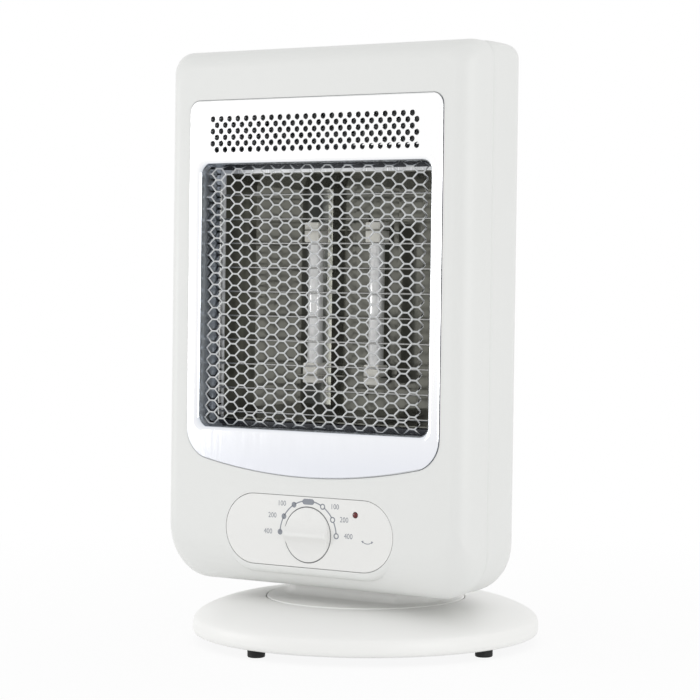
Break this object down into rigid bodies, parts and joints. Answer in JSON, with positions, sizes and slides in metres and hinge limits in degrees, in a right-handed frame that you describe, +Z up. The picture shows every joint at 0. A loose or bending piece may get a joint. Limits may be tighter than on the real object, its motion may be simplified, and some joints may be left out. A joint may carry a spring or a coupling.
{
  "type": "halogen heater",
  "caption": "Upright desk halogen heater: rounded white casing with framed hexagonal guard, lamps in a polished trough and a dial, on a swivelling turntable over a round domed base.",
  "frame": {"origin": "on the floor, on the swivel axis at the centre of the round base", "axes": "+Z up, the head faces -Y at rest, +X to the right of a viewer who faces the front"},
  "size_m": [0.218, 0.21, 0.3567],
  "materials": {
    "white_plastic": "satin moulded white",
    "base_plastic": "satin moulded white",
    "mirror_trim": "polished",
    "guard_wire": "bright expanded mesh",
    "bright_wire": "plated wire",
    "polished": "polished reflector sheet",
    "galvanised": "galvanised sheet",
    "quartz": "clear quartz, frosted in the middle",
    "filament": "tungsten coil",
    "ceramic": "white ceramic",
    "grey_plastic": "dark grey moulding",
    "red_lens": "dark red lens",
    "steel": "plain steel",
    "rubber": "black rubber"
  },
  "bodies": {
    "base": {"base_cover": "base_plastic", "base_plate": "steel", "ballast_weight": "steel", "pivot_post": "grey_plastic", "slotted_arm": "steel", "cord_gland": "grey_plastic", "tip_switch": "grey_plastic", "foot_1": "rubber", "foot_2": "rubber", "foot_3": "rubber", "foot_4": "rubber", "base_screw_1": "steel", "base_screw_2": "steel", "base_screw_3": "steel", "base_screw_4": "steel"},
    "head": {"front_shell": "white_plastic", "back_shell": "white_plastic", "trim_plate": "mirror_trim", "mesh_guard": "guard_wire", "window_duct": "galvanised", "guard_wires": "bright_wire", "reflector_frame": "polished", "reflector": "polished", "reflector_top": "polished", "reflector_bottom": "polished", "heat_shield": "galvanised", "quartz_tube_left": "quartz", "quartz_tube_right": "quartz", "filament_left": "filament", "filament_right": "filament", "lamp_cap_left_upper": "ceramic", "lamp_cap_left_lower": "ceramic", "lamp_cap_right_upper": "ceramic", "lamp_cap_right_lower": "ceramic", "lamp_holder_upper": "galvanised", "lamp_holder_lower": "galvanised", "thermal_cutout": "steel", "control_panel": "white_plastic", "selector_switch": "grey_plastic", "indicator_lens": "red_lens", "indicator_lamp": "grey_plastic", "terminal_block": "ceramic", "motor_bracket": "galvanised", "swivel_motor": "steel", "casing_screw_1": "steel", "casing_screw_2": "steel", "casing_screw_3": "steel", "casing_screw_4": "steel", "frame_screw_1": "steel", "frame_screw_2": "steel", "frame_screw_3": "steel", "frame_screw_4": "steel", "turntable": "base_plastic", "retaining_ring": "grey_plastic"},
    "knob": {"knob": "white_plastic", "selector_shaft": "grey_plastic"},
    "crank": {"crank_disc": "grey_plastic"},
    "plunger": {"tip_plunger": "grey_plastic"}
  },
  "joints": [
    {"name": "swivel", "type": "hinge", "parent": "base", "child": "head", "pos_m": [0, 0, 0], "axis": [0, 0, 1], "range_deg": [-1, 73]},
    {"name": "knob_turn", "type": "hinge", "parent": "head", "child": "knob", "pos_m": [0, -0.06202, 0.06937], "axis": [0, 0.9999, -0.0171], "range_deg": [-90, 90]},
    {"name": "crank_turn", "type": "hinge", "parent": "head", "child": "crank", "pos_m": [0.028, 0.00091, 0.05349], "axis": [0, 0.0171, 0.9999], "continuous": true},
    {"name": "plunger_slide", "type": "slide", "parent": "base", "child": "plunger", "axis": [0, 0, -1], "range_m": [0, 0.004]}
  ]
}
